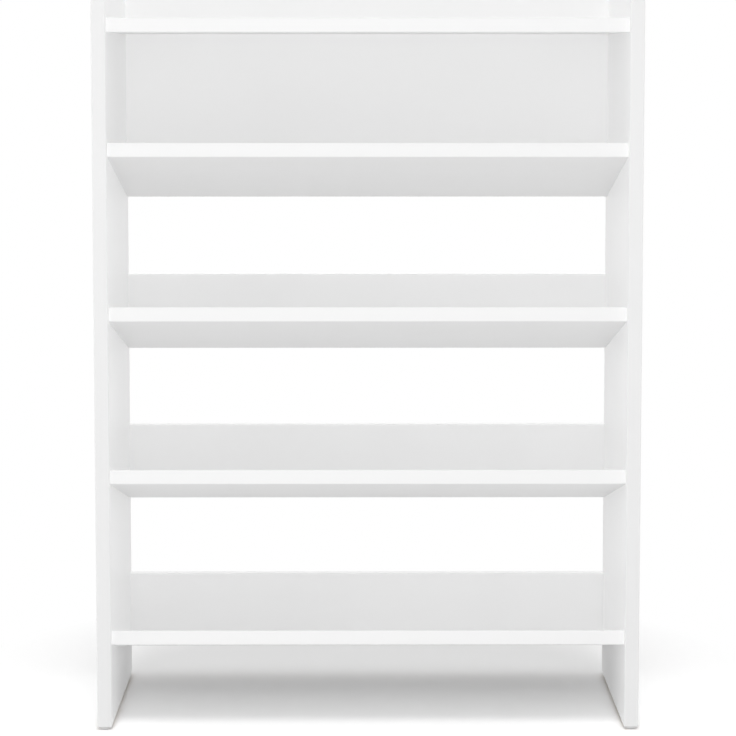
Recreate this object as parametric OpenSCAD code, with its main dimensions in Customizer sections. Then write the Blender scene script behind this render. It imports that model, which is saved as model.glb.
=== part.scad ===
// Free-standing shoe rack: two side panels, a level top board, four shelves that slope down
// to the back, a back board behind the top bay and a rear rail behind each lower shelf, all
// joined by cams, bolts and dowels. The origin is on the floor, under the middle of the rack.
// X runs along the front, Y runs from the front to the back and Z points up.

/* [Overall size] */
// Outside width across both side panels
rack_w = 600; // [440:10:900]
// Outside depth of the side panels, edging included
rack_d = 300; // [250:5:400]

/* [Heights] */
// Clear height between the floor and the front of the bottom shelf
floor_gap = 94; // [80:1:160]
// Clear height of each open bay, between the shelf fronts
bay_h = 164; // [130:1:240]
// Clear height of the bay under the top board, at its front
cubby_h = 119; // [90:1:200]
// Height of the side panels and back board above the top board
upstand_h = 30; // [18:1:60]

/* [Boards] */
// Thickness of each side panel
panel_t = 16; // [15:0.5:22]
// Thickness of the top board and of each shelf
shelf_t = 16; // [15:0.5:22]
// Thickness of the back board and of each rail
back_t = 16; // [15:0.5:22]
// How far the shelf fronts stand behind the panel fronts
shelf_setback = 10; // [4:0.5:25]
// Slope of the shelves in degrees, down towards the back
shelf_slope = 11.5; // [6:0.5:14]
// Radius of the top front corner of each side panel
corner_r = 25; // [8:1:40]

/* [Back board and rails] */
// Height of each rail
rail_h = 88; // [76:1:120]
// How far the back board and each rail reach below the rear end of their shelf
rear_lap = 1; // [0.5:0.5:8]

/* [Edging] */
// Thickness of the edging strip on the visible board edges
edging_t = 2; // [1:0.1:3]
// Radius of the rounded arrises of the edging strip
arris_r = 1.5; // [0.3:0.1:2.5]

/* [Cam joints] */
// Diameter of a cam housing
cam_d = 15; // [14:0.5:16]
// Height of a cam housing past the bolt's axis
cam_top = 4.3; // [4:0.1:5.5]
// Distance from a board's end to its cam axis
cam_reach = 24; // [22:0.5:34]
// Distance from the front or rear of a shelf to its cam axis
cam_inset = 37; // [25:1:45]
// Distance between a cam axis and the dowel beside it
dowel_pitch = 32; // [20:1:36]
// Distance from the lower edge of a rail to its cam axis
rail_cam_inset = 24; // [16:1:28]
// Distance from the top and bottom of the back board to its cam axes
back_cam_inset = 50; // [30:1:80]
// Length of the bolt's screwed end
bolt_screw_l = 11; // [8:0.5:12]
// Diameter of the bolt's screwed end
bolt_screw_d = 6; // [5:0.5:7]
// Diameter of the collar that stops the bolt on the panel
bolt_collar_d = 7.4; // [7:0.1:7.8]
// Thickness of that collar
bolt_collar_t = 1.6; // [1:0.1:3]
// Diameter of the bolt's shank
bolt_shank_d = 5.4; // [4.5:0.1:6]
// Diameter of the neck behind the bolt's head
bolt_neck_d = 3.6; // [3:0.1:4]
// Diameter of the bolt's ball head
bolt_head_d = 6.6; // [6:0.1:7]
// Diameter of the hole that passes the bolt into a board
bolt_hole_d = 8; // [7.9:0.1:9]

/* [Dowels and screws] */
// Diameter of a wooden dowel
dowel_d = 8; // [6:0.5:9]
// Length of a dowel
dowel_l = 30; // [26:1:40]
// Length of a dowel that lies in the side panel
dowel_in_panel = 10; // [8:0.5:12]
// Chamfer at each end of a dowel
dowel_chamfer = 0.8; // [0.3:0.1:1.5]
// Diameter of a rear screw's shank
screw_d = 4; // [3:0.5:5]
// Diameter of a rear screw's countersunk head
screw_head_d = 8; // [7:0.5:10]
// Length of a rear screw
screw_l = 45; // [35:1:60]
// Distance from each side panel to a rear screw
screw_inset = 110; // [60:5:180]

/* [Feet] */
// Diameter of a foot glide
glide_d = 15; // [12:0.5:16]
// Height of a foot glide
glide_h = 4; // [3:0.5:8]
// Distance from the front and back of a panel to a glide's centre
glide_inset = 10; // [9:1:60]
// Diameter of a glide's nail
nail_d = 2.2; // [1.8:0.1:3]
// Length of the nail that is driven into the panel
nail_l = 14; // [10:1:20]
// Diameter of the nail's head, moulded into the glide
nail_head_d = 5; // [4:0.5:6]

/* [Clearances] */
// Radial clearance of a cam, a bolt, a dowel, a screw or a nail in its hole
fit_gap = 0.1; // [0.05:0.05:0.2]
// Free depth at the bottom of a blind hole
end_gap = 0.5; // [0.2:0.1:1]
// Clearance between the bolt's head or neck and the cam round it
grip_gap = 0.2; // [0.1:0.05:0.3]
// Seam where one edging strip butts against another
seam_gap = 0.1; // [0.05:0.05:0.3]
// Clearance between the rear end of a sloping shelf and the board behind it
rear_gap = 0.2; // [0.1:0.1:0.5]

/* [Hidden] */
$fn = 48;

BOARD = [0.95, 0.95, 0.95];
PANEL_EDGING = [0.93, 0.93, 0.93];
SHELF_EDGING = [0.98, 0.98, 0.98];
ZINC = [0.72, 0.73, 0.75];
STEEL = [0.60, 0.61, 0.63];
BEECH = [0.84, 0.68, 0.48];
GLIDE_PLASTIC = [0.80, 0.80, 0.79];

// Widths and depths
half_in = rack_w / 2 - panel_t;
front_y = -rack_d / 2;
back_y = rack_d / 2;
shelf_front = front_y + shelf_setback;
shelf_back = back_y - back_t;
back_mid = back_y - back_t / 2;

// Height of each board's lower front edge, from the floor up
bottom_z = floor_gap;
middle_z = bottom_z + shelf_t + bay_h;
upper_z = middle_z + shelf_t + bay_h;
cubby_z = upper_z + shelf_t + bay_h;
top_z = cubby_z + shelf_t + cubby_h;
rack_h = top_z + shelf_t + upstand_h;
BOARD_ZS = [bottom_z, middle_z, upper_z, cubby_z, top_z];
RAIL_ZS = [bottom_z, middle_z, upper_z];

// A sloping shelf runs down until its upper rear edge meets the board behind it
shelf_run = shelf_back - rear_gap - shelf_front - shelf_t * sin(shelf_slope);
shelf_l = shelf_run / cos(shelf_slope);
shelf_fall = shelf_l * sin(shelf_slope);
back_low = cubby_z - shelf_fall - rear_lap;

// Places of the cams and dowels
BACK_CAM_ZS = [back_low + back_cam_inset, rack_h - back_cam_inset];
back_dowel_z = (back_low + rack_h) / 2;
GLIDE_YS = [front_y + glide_inset, back_y - glide_inset];
dowel_in_board = dowel_l - dowel_in_panel;

// Sizes of the cam's inside: the entry is a little wider than the chamber behind it
chamber_d = bolt_head_d + 2 * grip_gap;
entry_d = chamber_d + 2 * grip_gap;
chamber_low = entry_d / 2 + 0.3;
slot_w = bolt_neck_d + 2 * grip_gap;
entry_turn = 20;
slot_turn = 180;
cam_chamfer = 0.4;
cross_l = 6.6;
cross_w = 1.3;
cross_depth = 2.2;
arrow_d = 2.4;
arrow_depth = 0.5;

// Sizes of the screw's and the nail's heads
screw_head_h = (screw_head_d - screw_d) / 2 * 1.2;
screw_point_l = 4;
screw_cross_l = 4.4;
nail_head_t = 1;
nail_floor = 1.2;
glide_bevel = 1.2;
cut = 1;

function slopes(z) = z < top_z;
function board_l(z) = slopes(z) ? shelf_l : shelf_back - shelf_front;
function cam_ys(z) = [cam_inset, board_l(z) - cam_inset];
function dowel_ys(z) = [cam_inset + dowel_pitch, board_l(z) - cam_inset - dowel_pitch];
function rail_low(z) = z - shelf_fall - rear_lap;
function rail_high(z) = rail_low(z) + rail_h;
function rail_cam_z(z) = rail_low(z) + rail_cam_inset;
function rail_dowel_z(z) = rail_cam_z(z) + dowel_pitch;

// Cylinder along X
module rod_x(d, x0, x1) {
    translate([x0, 0, 0]) rotate([0, 90, 0]) cylinder(d = d, h = x1 - x0);
}

// The board frame has its origin under the middle of the board's front edge, with Y running
// back along the board and Z up through it.
module at_board(z) {
    translate([0, shelf_front, z]) rotate([slopes(z) ? -shelf_slope : 0, 0, 0]) children();
}

// The joint frame has its origin on a side panel's inner face, with X into the board that
// meets the panel and Z pointing away from the board face that the cam is fitted from.
module at_panel(side, y, z) {
    mirror([side > 0 ? 1 : 0, 0, 0]) translate([-half_in, y, z]) children();
}

// The same frame turned for a board that stands upright and has its cams in its rear face
module at_panel_upright(side, z) {
    at_panel(side, back_mid, z) rotate([90, 0, 0]) children();
}

// The top board's cams are fitted from below and those of the sloping shelves from above
module each_shelf_cam(zs, sides = [-1, 1]) {
    for (z = zs) for (y = cam_ys(z), side = sides)
        at_board(z) at_panel(side, y, shelf_t / 2) rotate([slopes(z) ? 180 : 0, 0, 0]) children();
}

module each_shelf_dowel(zs, sides = [-1, 1]) {
    for (z = zs) for (y = dowel_ys(z), side = sides)
        at_board(z) at_panel(side, y, shelf_t / 2) children();
}

module each_upright(zs, sides = [-1, 1]) {
    for (z = zs, side = sides) at_panel_upright(side, z) children();
}

// Children go to each screw that holds the back board to the top board, pointing forwards
module each_screw() {
    for (side = [-1, 1]) {
        translate([side * (half_in - screw_inset), back_y, top_z + shelf_t / 2])
            rotate([90, 0, 0]) children();
    }
}

module each_glide(sides = [-1, 1]) {
    for (side = sides, y = GLIDE_YS) translate([side * (half_in + panel_t / 2), y, 0]) children();
}

// Holes in the joint frame
module panel_bolt_hole() {
    rod_x(bolt_screw_d + 2 * fit_gap, -bolt_screw_l - end_gap, cut);
}

module panel_dowel_hole() {
    rod_x(dowel_d + 2 * fit_gap, -dowel_in_panel - end_gap, cut);
}

module board_dowel_hole() {
    rod_x(dowel_d + 2 * fit_gap, -cut, dowel_in_board + end_gap);
}

module cam_cuts(t) {
    translate([cam_reach, 0, -t / 2 - cut])
        cylinder(d = cam_d + 2 * fit_gap, h = t / 2 + cut + cam_top + fit_gap);
    rod_x(bolt_hole_d, -cut, cam_reach);
}

// Edging strip section: it stands on the X axis, t wide, with its two outer arrises rounded
module edging_section(t) {
    r = min(arris_r, edging_t, t / 3);
    intersection() {
        square([t, edging_t]);
        union() {
            square([t, edging_t - r]);
            translate([r, 0]) square([t - 2 * r, edging_t]);
            for (x = [r, t - r]) translate([x, edging_t - r]) circle(r);
        }
    }
}

// Straight edging strips: along X on a front edge, a top edge and a bottom edge
module front_strip(z) {
    at_board(z) translate([-half_in, edging_t, shelf_t])
        rotate([0, 90, 0]) linear_extrude(2 * half_in)
            mirror([0, 1, 0]) edging_section(shelf_t);
}

module top_strip(z) {
    translate([-half_in, shelf_back, z - edging_t])
        rotate([90, 0, 90]) linear_extrude(2 * half_in) edging_section(back_t);
}

module bottom_strip(z) {
    translate([-half_in, shelf_back, z + edging_t])
        rotate([90, 0, 90]) linear_extrude(2 * half_in)
            mirror([0, 1, 0]) edging_section(back_t);
}

// Side panel without its edging, in the Y and Z plane
module panel_outline() {
    low = [front_y + edging_t, glide_h];
    high = [back_y - edging_t, rack_h - edging_t];
    centre = [front_y + corner_r, rack_h - corner_r];
    difference() {
        translate(low) square(high - low);
        translate([low.x - cut, centre.y]) square([corner_r - edging_t + cut, corner_r + cut]);
    }
    intersection() {
        translate(centre) circle(corner_r - edging_t);
        translate([low.x, centre.y]) square([corner_r - edging_t, corner_r]);
    }
}

module side_panel(side) {
    color(BOARD) difference() {
        mirror([side > 0 ? 1 : 0, 0, 0]) translate([-rack_w / 2, 0, 0])
            rotate([90, 0, 90]) linear_extrude(panel_t) panel_outline();
        each_shelf_cam(BOARD_ZS, [side]) panel_bolt_hole();
        each_shelf_dowel(BOARD_ZS, [side]) panel_dowel_hole();
        each_upright([for (z = RAIL_ZS) rail_cam_z(z)], [side]) panel_bolt_hole();
        each_upright([for (z = RAIL_ZS) rail_dowel_z(z)], [side]) panel_dowel_hole();
        each_upright(BACK_CAM_ZS, [side]) panel_bolt_hole();
        each_upright([back_dowel_z], [side]) panel_dowel_hole();
        each_glide([side]) cylinder(d = nail_d + 2 * fit_gap, h = glide_h + nail_l + end_gap);
    }
}

// One strip up the front edge, round the top front corner and along the top, and one strip
// up the rear edge, butted under the end of the first
module panel_edging(side) {
    color(PANEL_EDGING) mirror([side > 0 ? 1 : 0, 0, 0]) translate([-rack_w / 2, 0, 0]) {
        union() {
            translate([0, front_y + edging_t, glide_h])
                linear_extrude(rack_h - corner_r - glide_h)
                    mirror([0, 1, 0]) edging_section(panel_t);
            translate([0, front_y + corner_r, rack_h - corner_r])
                rotate([0, 90, 0]) rotate([0, 0, 180]) rotate_extrude(angle = 90)
                    translate([corner_r - edging_t, 0]) rotate([0, 0, 90])
                        mirror([0, 1, 0]) edging_section(panel_t);
            translate([0, back_y, rack_h - edging_t])
                rotate([90, 0, 0]) linear_extrude(rack_d - corner_r) edging_section(panel_t);
        }
        translate([0, back_y - edging_t, glide_h])
            linear_extrude(rack_h - edging_t - seam_gap - glide_h) edging_section(panel_t);
    }
}

// Shelf or top board without its edging
module board(z) {
    difference() {
        at_board(z) translate([-half_in, edging_t, 0])
            cube([2 * half_in, board_l(z) - edging_t, shelf_t]);
        each_shelf_cam([z]) cam_cuts(shelf_t);
        each_shelf_dowel([z]) board_dowel_hole();
    }
}

module shelf(z) {
    color(BOARD) board(z);
}

module top_board() {
    color(BOARD) difference() {
        board(top_z);
        each_screw() screw_hole();
    }
}

module shelf_edging(z) {
    color(SHELF_EDGING) front_strip(z);
}

// Upright board without its edging, with cams and dowels at the heights that are given
module upright_board(low, high, cam_zs, dowel_zs) {
    difference() {
        translate([-half_in, shelf_back, low + edging_t])
            cube([2 * half_in, back_t, high - low - 2 * edging_t]);
        each_upright(cam_zs) cam_cuts(back_t);
        each_upright(dowel_zs) board_dowel_hole();
    }
}

module back_board() {
    color(BOARD) difference() {
        upright_board(back_low, rack_h, BACK_CAM_ZS, [back_dowel_z]);
        each_screw() screw_hole();
    }
}

module rail(z) {
    color(BOARD) upright_board(rail_low(z), rail_high(z), [rail_cam_z(z)], [rail_dowel_z(z)]);
}

module back_board_edging() {
    color(PANEL_EDGING) {
        top_strip(rack_h);
        bottom_strip(back_low);
    }
}

module rail_edging() {
    color(PANEL_EDGING) for (z = RAIL_ZS) {
        top_strip(rail_high(z));
        bottom_strip(rail_low(z));
    }
}

// Cam housing in the joint frame, turned to its locked place: the bolt's head is in the
// chamber, its neck is at the end of the slot and the entry that the head came in by faces
// into the board. The driver's cross and the arrow are on the face that stays in view.
module cam_lock(t) {
    axis_h = t / 2;
    height = axis_h + cam_top;
    color(ZINC) translate([cam_reach, 0, -axis_h]) difference() {
        union() {
            cylinder(d1 = cam_d - 2 * cam_chamfer, d2 = cam_d, h = cam_chamfer);
            translate([0, 0, cam_chamfer]) cylinder(d = cam_d, h = height - cam_chamfer);
        }
        translate([0, 0, axis_h - chamber_low]) cylinder(d = chamber_d, h = height);
        translate([0, 0, axis_h]) rotate([0, 0, entry_turn]) rod_x(entry_d, 0, cam_d);
        translate([0, 0, axis_h - slot_w / 2]) rotate([0, 0, entry_turn])
            rotate_extrude(angle = slot_turn) square([cam_d, slot_w]);
        for (turn = [0, 90]) rotate([0, 0, turn]) cube([cross_l, cross_w, 2 * cross_depth], true);
        translate([arrow_d - cam_d / 2, 0, -cut]) rotate([0, 0, 180])
            cylinder(d = arrow_d, h = cut + arrow_depth, $fn = 3);
    }
}

module shelf_cam_locks() {
    each_shelf_cam(BOARD_ZS) cam_lock(shelf_t);
}

module rear_cam_locks() {
    each_upright(concat(BACK_CAM_ZS, [for (z = RAIL_ZS) rail_cam_z(z)])) cam_lock(back_t);
}

// Bolt in the joint frame: screwed end in the panel, collar on its face, ball head in the cam
module cam_bolt() {
    neck_start = cam_reach - cam_d / 2 - grip_gap;
    color(STEEL) {
        rod_x(bolt_screw_d, -bolt_screw_l, 0);
        rod_x(bolt_collar_d, 0, bolt_collar_t);
        rod_x(bolt_shank_d, bolt_collar_t, neck_start);
        rod_x(bolt_neck_d, neck_start, cam_reach);
        translate([cam_reach, 0, 0]) sphere(d = bolt_head_d);
    }
}

module cam_bolts() {
    each_shelf_cam(BOARD_ZS) cam_bolt();
    each_upright(concat(BACK_CAM_ZS, [for (z = RAIL_ZS) rail_cam_z(z)])) cam_bolt();
}

// Dowel in the joint frame
module dowel() {
    slim_d = dowel_d - 2 * dowel_chamfer;
    color(BEECH) translate([-dowel_in_panel, 0, 0]) rotate([0, 90, 0]) {
        cylinder(d1 = slim_d, d2 = dowel_d, h = dowel_chamfer);
        translate([0, 0, dowel_chamfer]) cylinder(d = dowel_d, h = dowel_l - 2 * dowel_chamfer);
        translate([0, 0, dowel_l - dowel_chamfer])
            cylinder(d1 = dowel_d, d2 = slim_d, h = dowel_chamfer);
    }
}

module wooden_dowels() {
    each_shelf_dowel(BOARD_ZS) dowel();
    each_upright([for (z = RAIL_ZS) rail_dowel_z(z)]) dowel();
    each_upright([back_dowel_z]) dowel();
}

// Countersunk screw and its hole, both from the rear face forwards along Z
module screw_hole() {
    translate([0, 0, -cut]) cylinder(d = screw_head_d + 2 * fit_gap, h = cut);
    cylinder(d1 = screw_head_d + 2 * fit_gap, d2 = screw_d + 2 * fit_gap, h = screw_head_h);
    cylinder(d = screw_d + 2 * fit_gap, h = screw_l + end_gap);
}

module rear_screw() {
    shank_end = screw_l - screw_point_l;
    color(STEEL) difference() {
        union() {
            cylinder(d1 = screw_head_d, d2 = screw_d, h = screw_head_h);
            translate([0, 0, screw_head_h]) cylinder(d = screw_d, h = shank_end - screw_head_h);
            translate([0, 0, shank_end]) cylinder(d1 = screw_d, d2 = 0.6, h = screw_point_l);
        }
        for (turn = [0, 90]) rotate([0, 0, turn])
            cube([screw_cross_l, cross_w, 2 * cross_depth], true);
    }
}

module rear_screws() {
    each_screw() rear_screw();
}

// Nail-on glide: a plastic foot with the nail's head moulded in
module glide() {
    slim_d = glide_d - 2 * glide_bevel;
    difference() {
        union() {
            cylinder(d1 = slim_d, d2 = glide_d, h = glide_bevel);
            translate([0, 0, glide_bevel]) cylinder(d = glide_d, h = glide_h - glide_bevel);
        }
        translate([0, 0, nail_floor])
            cylinder(d = nail_head_d + 2 * fit_gap, h = nail_head_t + fit_gap);
        translate([0, 0, nail_floor]) cylinder(d = nail_d + 2 * fit_gap, h = glide_h);
    }
}

module foot_glides() {
    color(GLIDE_PLASTIC) each_glide() glide();
}

module nail() {
    cylinder(d = nail_head_d, h = nail_head_t);
    cylinder(d = nail_d, h = glide_h - nail_floor + nail_l);
}

module glide_nails() {
    color(STEEL) each_glide() translate([0, 0, nail_floor]) nail();
}

side_panel(-1);  // left_side_panel
side_panel(1);  // right_side_panel
top_board();
shelf(cubby_z);  // cubby_shelf
shelf(upper_z);  // upper_shelf
shelf(middle_z);  // middle_shelf
shelf(bottom_z);  // bottom_shelf
back_board();
rail(upper_z);  // upper_rail
rail(middle_z);  // middle_rail
rail(bottom_z);  // bottom_rail
panel_edging(-1);  // left_panel_edging
panel_edging(1);  // right_panel_edging
shelf_edging(top_z);  // top_board_edging
shelf_edging(cubby_z);  // cubby_shelf_edging
shelf_edging(upper_z);  // upper_shelf_edging
shelf_edging(middle_z);  // middle_shelf_edging
shelf_edging(bottom_z);  // bottom_shelf_edging
back_board_edging();
rail_edging();
shelf_cam_locks();
rear_cam_locks();
cam_bolts();
wooden_dowels();
rear_screws();
foot_glides();
glide_nails();
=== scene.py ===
"""Studio picture of the white shoe rack: finishes, fasteners, lights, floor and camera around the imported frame.

Metres throughout, in the frame's own axes: X along the front, Y from the front to the back, Z up.
The fasteners' sizes are given in millimetres.
"""
import math

import bmesh
import bpy
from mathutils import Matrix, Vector


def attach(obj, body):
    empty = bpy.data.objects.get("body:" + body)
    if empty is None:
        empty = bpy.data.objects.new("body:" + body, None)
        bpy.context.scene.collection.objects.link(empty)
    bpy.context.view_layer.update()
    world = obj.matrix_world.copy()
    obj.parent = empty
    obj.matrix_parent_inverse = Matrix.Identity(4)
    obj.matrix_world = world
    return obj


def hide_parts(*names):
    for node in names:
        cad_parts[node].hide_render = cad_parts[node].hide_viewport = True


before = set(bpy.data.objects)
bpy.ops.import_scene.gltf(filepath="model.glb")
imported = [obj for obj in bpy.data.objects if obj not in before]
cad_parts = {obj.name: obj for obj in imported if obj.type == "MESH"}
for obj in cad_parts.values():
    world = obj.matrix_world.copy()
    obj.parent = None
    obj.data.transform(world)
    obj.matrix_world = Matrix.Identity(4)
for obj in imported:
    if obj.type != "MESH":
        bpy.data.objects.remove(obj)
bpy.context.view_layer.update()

MM = 0.001
WHITE = (1.0, 1.0, 1.0, 1.0)

# Camera: where it stands, the point that it looks at, its lens, and the nearest and farthest that it sees
CAMERA_AT = (-0.0127, -3.3516, 0.7443)
CAMERA_AIM = (0.0, -0.150, 0.4040)
CAMERA_LENS = 143.88
CAMERA_SENSOR = 36.0
CAMERA_RANGE = (0.05, 50.0)

# Lamps that face the rack: name, degrees from the front towards the right, degrees up, metres square,
# watts, whether it casts shadows, and whether it lights the rack or the floor
LAMP_CENTRE = (0.0, 0.0, 0.40)
LAMP_DISTANCE = 4.0
LAMPS = (
    ("front softbox", 0, 0, 1.0, 9.5, True, "rack"),
    ("left front softbox", -50, 15, 1.8, 8.0, True, "rack"),
    ("left softbox", -85, 8, 1.8, 6.0, True, "rack"),
    ("right softbox", 85, 8, 1.8, 12.0, True, "rack"),
    ("left fill", -85, 8, 1.8, 11.0, False, "rack"),
    ("right fill", 85, 8, 1.8, 21.0, False, "rack"),
    ("left front fill", -45, 30, 1.8, 31.0, False, "rack"),
    ("right front fill", 45, 30, 1.8, 15.0, False, "rack"),
    ("overhead fill", 0, 85, 1.8, 8.0, False, "rack"),
    ("rear fill", 180, 25, 1.8, 18.0, False, "rack"),
    ("high floor softbox", 0, 62, 1.5, 41.0, True, "floor"),
    ("low floor softbox", 0, 12, 1.8, 51.0, True, "floor"),
)
ROOM_LIGHT = 0.555

# Floor: its width, its whites for the light and for the eye, and how far from the middle it starts to fade
# to white and is all white, with distances along X counted for more
FLOOR_WIDTH = 30.0
FLOOR_PALE = 0.90
FLOOR_PALE_SEEN = 1.26
FLOOR_CLOUDS = 3.0
FLOOR_CLOUD_STEP = 0.01
SHADOW_REACH = (0.42, 0.70)
SHADOW_STRETCH = (1.35, 1.0, 1.0)

# Melamine-faced board: patterns in features to the metre, and how dark the clouds in its white are
BOARD_CLOUDS = 9.0
BOARD_CLOUD_SHADE = 0.988
BOARD_PEBBLES = 700.0
BOARD_PEBBLE_DEPTH = 0.02 * MM
BOARD_SHEEN_PATCHES = 60.0
BOARD_ROUGH = (0.40, 0.48)
BOARD_SHINE = 0.35
CORE_FLAKES = 420.0
CORE_DARK = (0.42, 0.29, 0.17, 1.0)
CORE_PALE = (0.68, 0.53, 0.36, 1.0)

# Edging strips
EDGING_LINES = 900.0
EDGING_LINE_STRETCH = 0.02
EDGING_LINE_DEPTH = 0.004 * MM
EDGING_CLOUDS = 14.0
EDGING_CLOUD_SHADE = 0.99
EDGING_ROUGH = (0.30, 0.40)

# Metals: white level, roughness, features to the metre, and depth of the grain
CAST_ZINC = (0.62, 0.46, 1600.0, 0.03 * MM)
PLATED_STEEL = (0.66, 0.30, 3000.0, 0.003 * MM)
METAL_GRAIN_SHADE = 0.86
METAL_COOLNESS = -0.01
METAL_ROUGH_SPREAD = 0.08

# Beech
WOOD_GRAIN = 1500.0
WOOD_GRAIN_STRETCH = (0.06, 1.0, 1.0)
WOOD_GRAIN_DEPTH = 0.05 * MM
WOOD_FLECKS = 2600.0
WOOD_FLECK_STRETCH = (0.3, 1.0, 1.0)
WOOD_FLECK_SHARE = 0.6
WOOD_FLECK_EDGE = (0.62, 0.72)
WOOD_DARK = (0.52, 0.33, 0.17, 1.0)
WOOD_PALE = (0.72, 0.52, 0.31, 1.0)
WOOD_FLECK_COLOUR = (0.34, 0.19, 0.09, 1.0)
WOOD_ROUGH = 0.62

# Moulded feet
GLIDE_SPECKLES = 1400.0
GLIDE_SPECKLE_DEPTH = 0.02 * MM
# The feet's light plastic is set to this darker grey: painted shade for the shade under the panels.
GLIDE_DARK = 0.66
GLIDE_PALE = 0.72
GLIDE_ROUGH = (0.42, 0.52)

# Fasteners, in millimetres: each lies along X, and its profile is a row of places along X and radii.
# A bolt and a dowel have 0 at the side panel's inner face, a screw has it at the face of its head
BOLT_PROFILE = (
    (-11.0, 1.1), (-10.0, 2.1), (0.0, 2.1), (0.0, 3.4), (0.3, 3.7), (1.3, 3.7), (1.6, 3.4), (1.6, 2.7),
    (15.9, 2.7), (16.3, 2.3), (16.3, 1.8), (21.23, 1.8), (21.79, 2.45), (22.5, 2.94), (23.31, 3.23), (24.0, 3.3),
    (24.85, 3.19), (25.65, 2.86), (26.33, 2.33), (26.77, 1.8),
)
BOLT_THREAD = {"start": -10.4, "pitch": 2.0, "turns": 5, "root": 2.1, "crest": 3.0}
BOLT_CROSS = {"face": 26.77, "inward": -1, "span": 2.6, "width": 0.7, "depth": 1.5}
SCREW_PROFILE = ((0.0, 3.75), (0.15, 3.87), (2.4, 1.9), (3.4, 1.5), (4.5, 1.3), (41.0, 1.3), (45.0, 0.15))
SCREW_THREAD = {"start": 4.0, "pitch": 1.8, "turns": 22, "root": 1.3, "crest": 2.0}
SCREW_CROSS = {"face": 0.0, "inward": 1, "span": 4.4, "width": 0.95, "depth": 1.9}
DOWEL_PROFILE = ((-10.0, 3.2), (-9.2, 4.0), (19.2, 4.0), (20.0, 3.2))
METAL_SIDES = 24
DOWEL_SIDES = 48

# A groove's bottom as a share of the dowel's radius, and how near to that radius its sides are told from its ends
DOWEL_GROOVE = 0.91
DOWEL_SIDE_SHARE = 0.99

# Thread: steps in each turn, how far its ridge is sunk in the core, the length over which it runs out at each
# end, and the height of a three-sided ring as a share of its radius
THREAD_STEPS = 14
THREAD_SINK = 0.15
THREAD_RUN_OUT = 2.2
RIDGE_HEIGHT_SHARE = 1.5

# Cross: its span and width at the bottom and above the face, as shares of those at the face
CROSS_BOTTOM = (0.3, 0.7)
CROSS_ABOVE = (1.7, 1.3)

SMOOTH_ANGLE = 32.0
MERGE_WITHIN = 0.002 * MM
PLACE_DIGITS = 7


def stand_camera():
    """Camera at the photograph's viewing angle."""
    camera = bpy.data.objects.new("camera", bpy.data.cameras.new("camera"))
    bpy.context.scene.collection.objects.link(camera)
    camera.location = CAMERA_AT
    look = Vector(CAMERA_AIM) - Vector(CAMERA_AT)
    camera.rotation_euler = look.to_track_quat("-Z", "Y").to_euler()
    camera.data.sensor_width = CAMERA_SENSOR
    camera.data.lens = CAMERA_LENS
    camera.data.clip_start, camera.data.clip_end = CAMERA_RANGE
    bpy.context.scene.camera = camera


def empty_tree(owner):
    """The node tree of a material or a world, with nothing in it."""
    owner.use_nodes = True
    owner.node_tree.nodes.clear()
    return owner.node_tree


def new_material(name):
    """An empty node material with its Principled shader and its output."""
    material = bpy.data.materials.new(name)
    tree = empty_tree(material)
    shader = tree.nodes.new("ShaderNodeBsdfPrincipled")
    output = tree.nodes.new("ShaderNodeOutputMaterial")
    tree.links.new(shader.outputs["BSDF"], output.inputs["Surface"])
    return material, tree, shader


def set_input(tree, socket, value):
    """A socket given a value, or joined to another socket."""
    if isinstance(value, bpy.types.NodeSocket):
        tree.links.new(value, socket)
    else:
        socket.default_value = value


def add_node(tree, kind, inputs=None, **settings):
    """A node with its settings made and its inputs set."""
    node = tree.nodes.new(kind)
    for key, value in settings.items():
        setattr(node, key, value)
    for key, value in (inputs or {}).items():
        set_input(tree, node.inputs[key], value)
    return node


def object_point(tree, stretch=(1.0, 1.0, 1.0)):
    """Object coordinates, each axis multiplied by its own stretch."""
    point = add_node(tree, "ShaderNodeTexCoord").outputs["Object"]
    return add_node(tree, "ShaderNodeMapping", {"Vector": point, "Scale": stretch}).outputs["Vector"]


def noise(tree, point, per_metre, detail=2.0, roughness=0.5):
    """Noise with this many features to the metre, from 0 to 1."""
    inputs = {"Vector": point, "Scale": per_metre, "Detail": detail, "Roughness": roughness}
    return add_node(tree, "ShaderNodeTexNoise", inputs).outputs["Fac"]


def remap(tree, value, low, high, from_low=0.3, from_high=0.7):
    """The value moved from one range to another."""
    inputs = {"Value": value, "From Min": from_low, "From Max": from_high, "To Min": low, "To Max": high}
    return add_node(tree, "ShaderNodeMapRange", inputs).outputs["Result"]


def reckon(tree, operation, *values):
    """The result of one step of arithmetic."""
    return add_node(tree, "ShaderNodeMath", dict(enumerate(values)), operation=operation).outputs[0]


def mix_colour(tree, share, first, second):
    """Two colours mixed by a share, each a colour or a socket."""
    node = add_node(tree, "ShaderNodeMix", data_type="RGBA")
    colour_inputs = [socket for socket in node.inputs if socket.type == "RGBA"]
    set_input(tree, node.inputs[0], share)
    for socket, value in zip(colour_inputs, (first, second)):
        set_input(tree, socket, value)
    return next(socket for socket in node.outputs if socket.type == "RGBA")


def grey(level, warmth=0.0):
    """A neutral colour of this level, a little warmer or cooler."""
    return (level * (1.0 + warmth), level, level * (1.0 - warmth), 1.0)


def colour_surface(tree, shader, colour, rough, height, depth):
    """Colour, roughness and bump joined to the shader; the bump's height of 0 to 1 stands for its depth."""
    set_input(tree, shader.inputs["Base Color"], colour)
    set_input(tree, shader.inputs["Roughness"], rough)
    bump = add_node(tree, "ShaderNodeBump", {"Height": height, "Distance": depth, "Strength": 1.0})
    set_input(tree, shader.inputs["Normal"], bump.outputs["Normal"])


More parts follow.
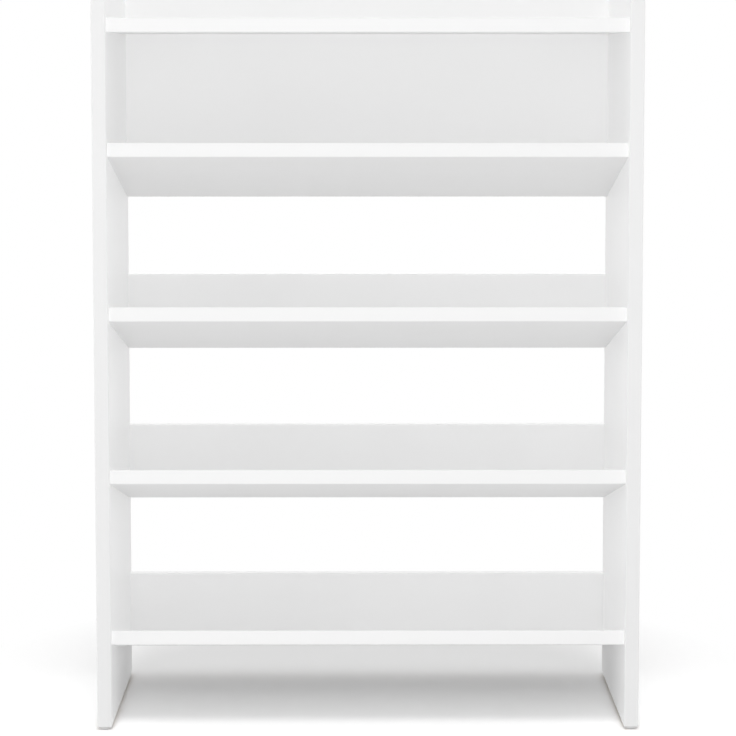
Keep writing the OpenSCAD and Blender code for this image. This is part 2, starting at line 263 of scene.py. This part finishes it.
def melamine(name, face_axis, level):
    """White melamine-faced chipboard: satin, faintly pebbled faces across one axis, raw core elsewhere."""
    material, tree, shader = new_material(name)
    point = object_point(tree)
    cloud = remap(tree, noise(tree, point, BOARD_CLOUDS), 0.0, 1.0)
    face = mix_colour(tree, cloud, grey(level * BOARD_CLOUD_SHADE), grey(level))
    flakes = add_node(tree, "ShaderNodeTexVoronoi", {"Vector": point, "Scale": CORE_FLAKES}, distance="CHEBYCHEV")
    core = mix_colour(tree, remap(tree, flakes.outputs["Color"], 0.0, 1.0, 0.0, 1.0), CORE_DARK, CORE_PALE)
    normal = add_node(tree, "ShaderNodeNewGeometry").outputs["True Normal"]
    across = add_node(tree, "ShaderNodeSeparateXYZ", {"Vector": normal}).outputs[face_axis]
    on_face = reckon(tree, "GREATER_THAN", reckon(tree, "ABSOLUTE", across), 0.5)
    rough = remap(tree, noise(tree, point, BOARD_SHEEN_PATCHES, 3.0), *BOARD_ROUGH)
    pebble = noise(tree, point, BOARD_PEBBLES, 2.0, 0.6)
    colour_surface(tree, shader, mix_colour(tree, on_face, core, face), rough, pebble, BOARD_PEBBLE_DEPTH)
    shader.inputs["Specular IOR Level"].default_value = BOARD_SHINE
    return material


def edging(name, across, level, shine=0.4):
    """Plastic edging: smooth satin strip with faint drawn lines along its length."""
    material, tree, shader = new_material(name)
    stretch = tuple(1.0 if axis == across else EDGING_LINE_STRETCH for axis in "XYZ")
    lines = noise(tree, object_point(tree, stretch), EDGING_LINES)
    cloud = remap(tree, noise(tree, object_point(tree), EDGING_CLOUDS), 0.0, 1.0)
    colour = mix_colour(tree, cloud, grey(level * EDGING_CLOUD_SHADE), grey(level))
    colour_surface(tree, shader, colour, remap(tree, lines, *EDGING_ROUGH), lines, EDGING_LINE_DEPTH)
    shader.inputs["Specular IOR Level"].default_value = shine
    return material


def metal(name, level, rough, grain_per_metre, grain_depth):
    """Plain metal with a fine cast or plated grain."""
    material, tree, shader = new_material(name)
    grain = noise(tree, object_point(tree), grain_per_metre, 4.0, 0.6)
    colour = mix_colour(tree, remap(tree, grain, 0.0, 1.0),
                        grey(level * METAL_GRAIN_SHADE), grey(level, METAL_COOLNESS))
    sheen = remap(tree, grain, rough - METAL_ROUGH_SPREAD, rough + METAL_ROUGH_SPREAD)
    colour_surface(tree, shader, colour, sheen, grain, grain_depth)
    shader.inputs["Metallic"].default_value = 1.0
    return material


def beech(name):
    """Turned beech with its grain along X and short dark flecks."""
    material, tree, shader = new_material(name)
    grain = noise(tree, object_point(tree, WOOD_GRAIN_STRETCH), WOOD_GRAIN, 4.0, 0.6)
    flecks = noise(tree, object_point(tree, WOOD_FLECK_STRETCH), WOOD_FLECKS, 1.0)
    wood = mix_colour(tree, remap(tree, grain, 0.0, 1.0), WOOD_DARK, WOOD_PALE)
    colour = mix_colour(tree, remap(tree, flecks, 0.0, WOOD_FLECK_SHARE, *WOOD_FLECK_EDGE),
                        wood, WOOD_FLECK_COLOUR)
    colour_surface(tree, shader, colour, WOOD_ROUGH, grain, WOOD_GRAIN_DEPTH)
    return material


def glide_plastic(name):
    """Moulded plastic foot, slightly waxy, in a grey set darker than its light plastic as painted shade for the
    shade under the panels.
    """
    material, tree, shader = new_material(name)
    speckle = noise(tree, object_point(tree), GLIDE_SPECKLES)
    colour = mix_colour(tree, remap(tree, speckle, 0.0, 1.0), grey(GLIDE_DARK), grey(GLIDE_PALE))
    colour_surface(tree, shader, colour, remap(tree, speckle, *GLIDE_ROUGH), speckle, GLIDE_SPECKLE_DEPTH)
    return material


def dress(material, *pieces):
    """These pieces given this one finish."""
    for piece in pieces:
        piece.data.materials.clear()
        piece.data.materials.append(material)


def nodes(*names):
    """The CAD nodes of these names."""
    return [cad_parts[name] for name in names]


def finish_boards():
    """Melamine on the boards and edging on their seen edges, in the whites that the photograph shows. The same
    melamine white and the same edging white are set lighter or darker part by part, as painted light and shade
    for how brightly each part is lit.
    """
    # The upright sides, shelves, back board and rails share one melamine white, set lighter or darker on each:
    # painted light and shade.
    dress(melamine("melamine upright side", "X", 0.935), *nodes("left_side_panel", "right_side_panel"))
    dress(melamine("melamine shelf", "Z", 0.915),
          *nodes("top_board", "cubby_shelf", "upper_shelf", "middle_shelf", "bottom_shelf"))
    dress(melamine("melamine back board", "Y", 0.955), *nodes("back_board"))
    dress(melamine("melamine rail", "Y", 0.91), *nodes("upper_rail", "middle_rail", "bottom_rail"))
    # The panel, rail and shelf edgings share one edging white, set lighter or darker on each: painted light and
    # shade.
    dress(edging("panel edging", "X", 0.89), *nodes("left_panel_edging", "right_panel_edging"))
    dress(edging("rail edging", "Y", 0.92, shine=0.15), *nodes("back_board_edging", "rail_edging"))
    dress(edging("shelf edging", "Z", 0.95),
          *nodes("top_board_edging", "cubby_shelf_edging", "upper_shelf_edging", "middle_shelf_edging",
                 "bottom_shelf_edging"))


def only(*pieces):
    """Nothing else selected, and the first of them active."""
    bpy.ops.object.select_all(action="DESELECT")
    for piece in pieces:
        piece.select_set(True)
    bpy.context.view_layer.objects.active = pieces[0]


def settle():
    """The active piece's place, turn and scale moved into its mesh."""
    bpy.ops.object.transform_apply(location=True, rotation=True, scale=True)


def face_outwards():
    """All faces of the active piece, which is in edit mode, turned outwards, and back to object mode."""
    bpy.ops.mesh.select_all(action="SELECT")
    bpy.ops.mesh.normals_make_consistent(inside=False)
    bpy.ops.object.mode_set(mode="OBJECT")


def combine(piece, other, operation):
    """The other piece joined to this one or cut out of it, and then removed."""
    only(piece)
    change = piece.modifiers.new("change", "BOOLEAN")
    change.operation = operation
    change.solver = "EXACT"
    change.object = other
    bpy.ops.object.modifier_apply(modifier=change.name)
    bpy.data.objects.remove(other)


def from_axis(vertex):
    """How far a vertex is from the X axis."""
    return math.hypot(vertex.co.y, vertex.co.z)


def turned(profile, sides):
    """A turned piece along X: a disc drawn out and widened or narrowed step by step."""
    bpy.ops.object.select_all(action="DESELECT")
    place, radius = profile[0]
    bpy.ops.mesh.primitive_circle_add(vertices=sides, radius=radius * MM, fill_type="NGON",
                                      location=(place * MM, 0.0, 0.0), rotation=(0.0, math.pi / 2, 0.0))
    settle()
    bpy.ops.object.mode_set(mode="EDIT")
    for next_place, next_radius in profile[1:]:
        step = (next_place - place) * MM
        bpy.ops.mesh.extrude_region_move(TRANSFORM_OT_translate={"value": (step, 0.0, 0.0)})
        wider = next_radius / radius
        bpy.ops.transform.resize(value=(1.0, wider, wider), center_override=(next_place * MM, 0.0, 0.0))
        place, radius = next_place, next_radius
    face_outwards()
    return bpy.context.object


def wind_thread(core, start, pitch, turns, root, crest):
    """A right-handed thread on a turned core: a three-sided ridge wound along X, which runs out at both ends."""
    ridge_radius = (crest - root + THREAD_SINK) / RIDGE_HEIGHT_SHARE
    bpy.ops.object.select_all(action="DESELECT")
    bpy.ops.mesh.primitive_circle_add(vertices=3, radius=ridge_radius * MM,
                                      location=(start * MM, (crest - ridge_radius) * MM, 0.0))
    ridge = bpy.context.object
    settle()
    winding = ridge.modifiers.new("winding", "SCREW")
    winding.axis = "X"
    winding.screw_offset = pitch * MM
    winding.iterations = turns
    winding.steps = winding.render_steps = THREAD_STEPS
    bpy.ops.object.modifier_apply(modifier=winding.name)
    end = start + pitch * turns
    lowest = root - THREAD_SINK / 2
    for vertex in ridge.data.vertices:
        place = vertex.co.x / MM
        share = min(1.0, max(0.0, (place - start) / THREAD_RUN_OUT), max(0.0, (end - place) / THREAD_RUN_OUT))
        limit = (lowest + (crest - lowest) * share) * MM
        inwards = min(1.0, limit / from_axis(vertex))
        vertex.co.y *= inwards
        vertex.co.z *= inwards
    bpy.ops.object.mode_set(mode="EDIT")
    bpy.ops.mesh.select_all(action="SELECT")
    bpy.ops.mesh.fill_holes(sides=3)
    face_outwards()
    combine(core, ridge, "UNION")


def cut_cross(piece, face, inward, span, width, depth):
    """A driver's cross in the face of a fastener, narrower towards its bottom."""
    for turn in (0.0, math.pi / 2):
        bpy.ops.object.select_all(action="DESELECT")
        bpy.ops.mesh.primitive_cube_add(size=1.0, location=(face * MM, 0.0, 0.0),
                                        scale=(2.0 * depth * MM, span * MM, width * MM))
        wing = bpy.context.object
        settle()
        for vertex in wing.data.vertices:
            at_bottom = (vertex.co.x / MM - face) * inward > 0.0
            span_share, width_share = CROSS_BOTTOM if at_bottom else CROSS_ABOVE
            vertex.co.y *= span_share
            vertex.co.z *= width_share
        wing.rotation_euler = (turn, 0.0, 0.0)
        settle()
        combine(piece, wing, "DIFFERENCE")


def turn_bolt():
    """Cam bolt: threaded end, collar, shank, neck and ball head with a cross."""
    bolt = turned(BOLT_PROFILE, METAL_SIDES)
    wind_thread(bolt, **BOLT_THREAD)
    cut_cross(bolt, **BOLT_CROSS)
    return bolt


def turn_screw():
    """Countersunk screw with a thread to its point and a cross in its head."""
    screw = turned(SCREW_PROFILE, METAL_SIDES)
    wind_thread(screw, **SCREW_THREAD)
    cut_cross(screw, **SCREW_CROSS)
    return screw


def turn_dowel():
    """Dowel with chamfered ends, and grooves along its sides where every second edge is pressed in."""
    dowel = turned(DOWEL_PROFILE, DOWEL_SIDES)
    widest = max(from_axis(vertex) for vertex in dowel.data.vertices)
    for vertex in dowel.data.vertices:
        edge = round(math.atan2(vertex.co.z, vertex.co.y) / (2.0 * math.pi) * DOWEL_SIDES)
        if edge % 2 and from_axis(vertex) > DOWEL_SIDE_SHARE * widest:
            vertex.co.y *= DOWEL_GROOVE
            vertex.co.z *= DOWEL_GROOVE
    return dowel


def boxes_of(node):
    """Lowest and highest corners of each separate solid in a CAD node, from a merged copy of its mesh."""
    mesh = bmesh.new()
    mesh.from_mesh(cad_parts[node].data)
    bmesh.ops.remove_doubles(mesh, verts=mesh.verts, dist=MERGE_WITHIN)
    waiting = set(mesh.verts)
    boxes = []
    while waiting:
        solid = [waiting.pop()]
        for corner in solid:
            beside = {edge.other_vert(corner) for edge in corner.link_edges} & waiting
            waiting -= beside
            solid.extend(beside)
        box = [pick(corner.co[axis] for corner in solid) for pick in (min, max) for axis in range(3)]
        boxes.append(tuple(round(value, PLACE_DIGITS) for value in box))
    mesh.free()
    return sorted(boxes)


def sideways_places(node, in_panel):
    """Where each bolt or dowel of a node goes: its turn about the upright, and its point on the panel's face."""
    for low_x, low_y, low_z, high_x, high_y, high_z in boxes_of(node):
        middle = ((low_y + high_y) / 2, (low_z + high_z) / 2)
        if low_x + high_x < 0.0:
            yield 0.0, (low_x + in_panel * MM, *middle)
        else:
            yield math.pi, (high_x - in_panel * MM, *middle)


def forward_places(node):
    """Where each rear screw goes: its turn about the upright, and its point on the back board's rear face."""
    for low_x, _, low_z, high_x, high_y, high_z in boxes_of(node):
        yield -math.pi / 2, ((low_x + high_x) / 2, high_y, (low_z + high_z) / 2)


def fit_copies(name, master, places, material, node):
    """Copies of a fastener as one piece, in the places of the CAD node that it stands for."""
    copies = []
    for turn, place in places:
        only(master)
        bpy.ops.object.duplicate(linked=False)
        copy = bpy.context.object
        copy.location = place
        copy.rotation_euler = (0.0, 0.0, turn)
        settle()
        copies.append(copy)
    bpy.data.objects.remove(master)
    only(*copies)
    bpy.ops.object.join()
    piece = bpy.context.object
    piece.name = name
    bpy.ops.object.shade_smooth_by_angle(angle=math.radians(SMOOTH_ANGLE))
    dress(material, piece)
    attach(piece, "root")
    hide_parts(node)


def fit_fasteners():
    """Cams, nails and feet finished, and bolts, screws and dowels given the detail that the solids leave out."""
    steel = metal("plated steel", *PLATED_STEEL)
    dress(metal("die-cast zinc", *CAST_ZINC), *nodes("shelf_cam_locks", "rear_cam_locks"))
    dress(steel, *nodes("glide_nails"))
    dress(glide_plastic("glide plastic"), *nodes("foot_glides"))
    fit_copies("threaded_cam_bolts", turn_bolt(), sideways_places("cam_bolts", -BOLT_PROFILE[0][0]), steel,
               "cam_bolts")
    fit_copies("threaded_rear_screws", turn_screw(), forward_places("rear_screws"), steel,
               "rear_screws")
    fit_copies("grooved_dowels", turn_dowel(), sideways_places("wooden_dowels", -DOWEL_PROFILE[0][0]),
               beech("beech"), "wooden_dowels")


def hang_lamps(floor):
    """Square softboxes that face the rack. The floor has its own, so that the rack's shadow stays soft."""
    only_floor = bpy.data.collections.new("only the floor")
    all_but_floor = bpy.data.collections.new("all but the floor")
    for lit, state in ((only_floor, "INCLUDE"), (all_but_floor, "EXCLUDE")):
        lit.objects.link(floor)
        lit.collection_objects[0].light_linking.link_state = state
    for name, turn, rise, size, power, casts, target in LAMPS:
        lamp = bpy.data.lights.new(name, "AREA")
        lamp.shape = "SQUARE"
        lamp.size = size
        lamp.energy = power
        lamp.use_shadow = casts
        box = bpy.data.objects.new(name, lamp)
        bpy.context.scene.collection.objects.link(box)
        turn, rise = math.radians(turn), math.radians(rise)
        outward = Vector((math.cos(rise) * math.sin(turn), -math.cos(rise) * math.cos(turn), math.sin(rise)))
        box.location = Vector(LAMP_CENTRE) + outward * LAMP_DISTANCE
        box.rotation_euler = outward.to_track_quat("Z", "Y").to_euler()
        box.visible_camera = False
        box.light_linking.receiver_collection = only_floor if target == "floor" else all_but_floor


def white_to_the_eye(tree):
    """1 for camera, glossy and transmission rays, 0 for the rays that light the rack."""
    path = add_node(tree, "ShaderNodeLightPath")
    seen = reckon(tree, "MAXIMUM", path.outputs["Is Camera Ray"], path.outputs["Is Glossy Ray"])
    return reckon(tree, "MAXIMUM", seen, path.outputs["Is Transmission Ray"])


def light_room():
    """Even room light, which shows as white."""
    world = bpy.data.worlds.new("studio")
    bpy.context.scene.world = world
    tree = empty_tree(world)
    strength = remap(tree, white_to_the_eye(tree), ROOM_LIGHT, 1.0, 0.0, 1.0)
    background = add_node(tree, "ShaderNodeBackground", {"Color": WHITE, "Strength": strength})
    add_node(tree, "ShaderNodeOutputWorld", {"Surface": background.outputs[0]})


def lay_floor():
    """Pale studio floor: white to the eye beyond the rack's shadow, which it keeps."""
    bpy.ops.object.select_all(action="DESELECT")
    bpy.ops.mesh.primitive_plane_add(size=FLOOR_WIDTH, location=(0.0, 0.0, 0.0))
    floor = bpy.context.object
    floor.name = "floor"
    material = bpy.data.materials.new("studio floor")
    tree = empty_tree(material)
    seen = white_to_the_eye(tree)
    cloud = remap(tree, noise(tree, object_point(tree), FLOOR_CLOUDS), 0.0, 1.0)
    lit = mix_colour(tree, cloud, grey(FLOOR_PALE - FLOOR_CLOUD_STEP), grey(FLOOR_PALE))
    shown = mix_colour(tree, cloud, grey(FLOOR_PALE_SEEN - FLOOR_CLOUD_STEP), grey(FLOOR_PALE_SEEN))
    paper = add_node(tree, "ShaderNodeBsdfDiffuse", {"Color": mix_colour(tree, seen, lit, shown)})
    away = add_node(tree, "ShaderNodeVectorMath", {0: object_point(tree, SHADOW_STRETCH)}, operation="LENGTH")
    beyond = remap(tree, away.outputs["Value"], 0.0, 1.0, *SHADOW_REACH)
    white = add_node(tree, "ShaderNodeEmission", {"Color": WHITE, "Strength": 1.0})
    mixed = add_node(tree, "ShaderNodeMixShader",
                     {0: reckon(tree, "MULTIPLY", seen, beyond), 1: paper.outputs[0], 2: white.outputs[0]})
    add_node(tree, "ShaderNodeOutputMaterial", {"Surface": mixed.outputs[0]})
    dress(material, floor)
    return floor


stand_camera()
finish_boards()
fit_fasteners()
light_room()
hang_lamps(lay_floor())

bpy.context.scene.view_settings.view_transform = "Standard"
